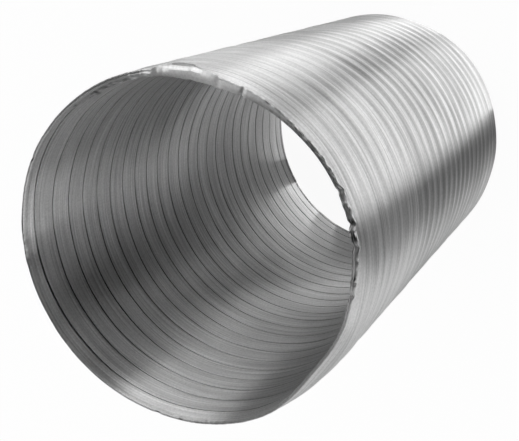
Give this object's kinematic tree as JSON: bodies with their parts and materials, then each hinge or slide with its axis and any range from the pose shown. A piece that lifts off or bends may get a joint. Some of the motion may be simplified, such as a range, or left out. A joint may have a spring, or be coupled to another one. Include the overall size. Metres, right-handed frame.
{
  "type": "flexible aluminium duct",
  "caption": "Short straight length of spiral-wound aluminium duct, open at both ends, with folds standing out of a smooth banded bore.",
  "frame": {"origin": "centre of the lower mouth, on the surface that the duct stands on", "axes": "+Z along the duct's axis, from the lower mouth to the upper one; the spiral fold starts and runs out 21 degrees clockwise of +X, seen from above"},
  "size_m": [0.1308, 0.1308, 0.2143],
  "materials": {
    "aluminium_sheet": "rolled mill finish, fine lines along the strip"
  },
  "bodies": {
    "root": {"spiral_duct": "aluminium_sheet"}
  },
  "joints": []
}
